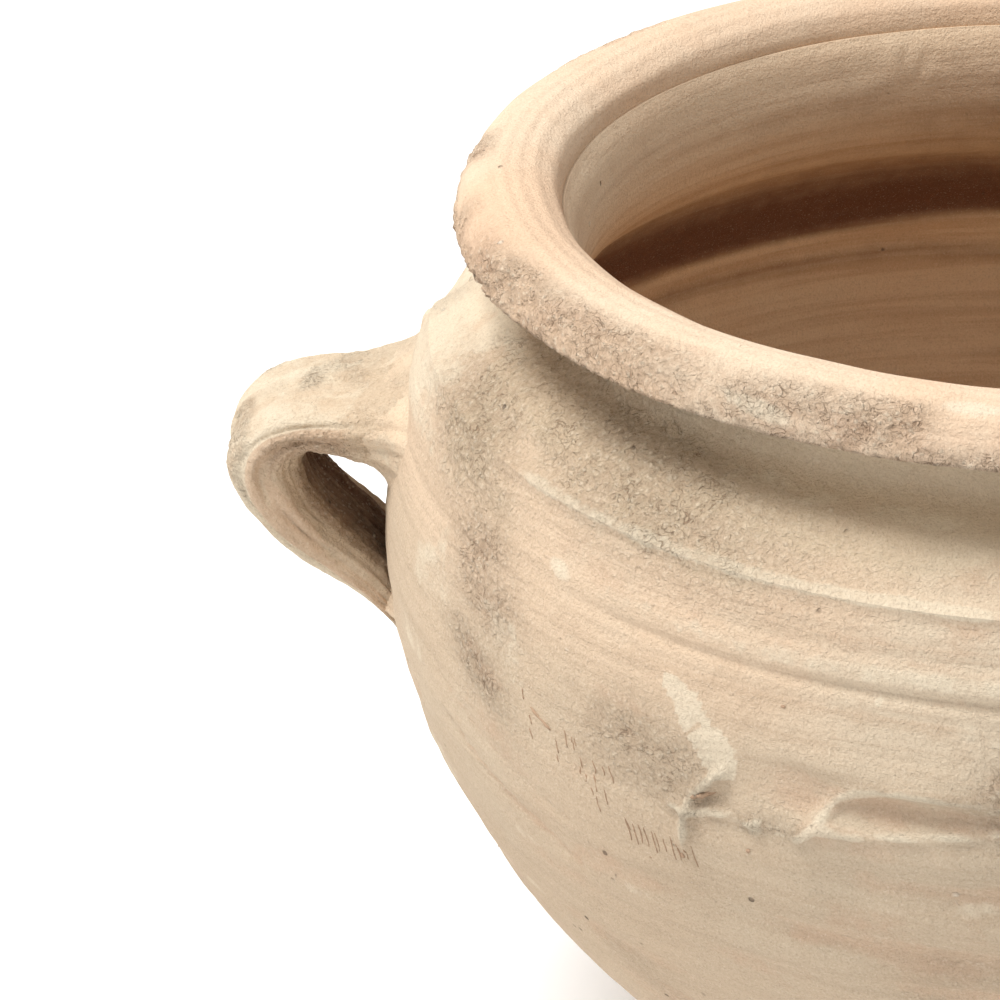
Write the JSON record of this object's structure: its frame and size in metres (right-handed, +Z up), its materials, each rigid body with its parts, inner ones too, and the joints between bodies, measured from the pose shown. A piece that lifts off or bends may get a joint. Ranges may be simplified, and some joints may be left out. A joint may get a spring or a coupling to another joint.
{
  "type": "terracotta pot",
  "caption": "Round-bellied terracotta pot with a short waisted neck, a broad outturned lip, small strap handles at the shoulder and a central drain hole.",
  "frame": {"origin": "centre of the foot, on the ground", "axes": "+Z up the pot's axis, +X through the right handle, the left handle on -X"},
  "size_m": [0.349, 0.2832, 0.215],
  "materials": {
    "bowl_clay": "matte unglazed",
    "neck_clay": "matte unglazed",
    "rim_clay": "matte unglazed",
    "handle_clay": "matte unglazed",
    "luting_clay": "matte unglazed, rough"
  },
  "bodies": {
    "root": {"bowl": "bowl_clay", "neck": "neck_clay", "rim": "rim_clay", "left_handle": "handle_clay", "right_handle": "handle_clay", "left_upper_pad": "luting_clay", "left_lower_pad": "luting_clay", "right_upper_pad": "luting_clay", "right_lower_pad": "luting_clay"}
  },
  "joints": []
}
